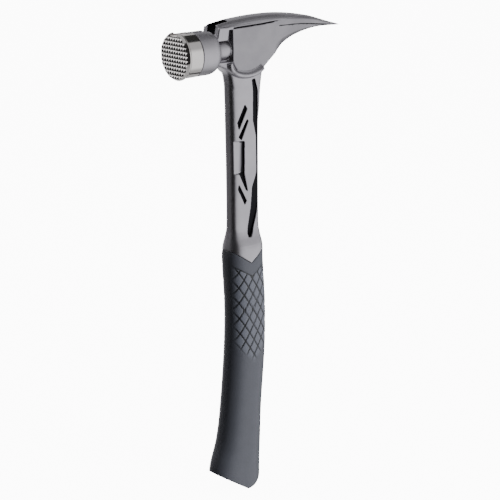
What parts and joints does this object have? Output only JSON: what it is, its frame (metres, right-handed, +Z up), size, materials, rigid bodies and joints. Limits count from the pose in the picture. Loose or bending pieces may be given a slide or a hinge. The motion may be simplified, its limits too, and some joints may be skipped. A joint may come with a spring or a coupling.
{
  "type": "framing hammer",
  "caption": "Titanium rip-claw hammer with a screwed-on milled steel striking face, a magnetic nail starter and a moulded rubber grip.",
  "frame": {"origin": "centre of the grip's sloped end face, on the hammer's middle plane", "axes": "+Z up the handle to the head, -X towards the striking face and +X towards the claw, Y across the hammer"},
  "size_m": [0.1598, 0.0374, 0.3882],
  "materials": {
    "cast_titanium": "satin, bead-blasted",
    "polished_steel": "polished, milled face",
    "black_oxide_steel": "black oxide",
    "nickel_plate": "nickel plated",
    "moulded_rubber": "matte, moulded"
  },
  "bodies": {
    "hammer": {"titanium_frame": "cast_titanium", "nail_magnet": "nickel_plate", "rubber_grip": "moulded_rubber"},
    "striking_face": {"striking_face": "polished_steel"},
    "lock_washer": {"lock_washer": "black_oxide_steel"},
    "face_screw": {"face_screw": "black_oxide_steel"}
  },
  "joints": [
    {"name": "face_pull", "type": "slide", "parent": "hammer", "child": "striking_face", "axis": [-1, 0, 0], "range_m": [0, 0.012]},
    {"name": "screw_travel", "type": "slide", "parent": "hammer", "child": "lock_washer", "axis": [1, 0, 0], "range_m": [0, 0.0084]},
    {"name": "screw_turn", "type": "hinge", "parent": "lock_washer", "child": "face_screw", "pos_m": [-0.0105, 0, 0.3649], "axis": [1, 0, 0], "range_deg": [0, 4330]}
  ],
  "couplings": [
    {"joint": "screw_turn", "follows": "screw_travel", "rad_per_m": 8976}
  ]
}
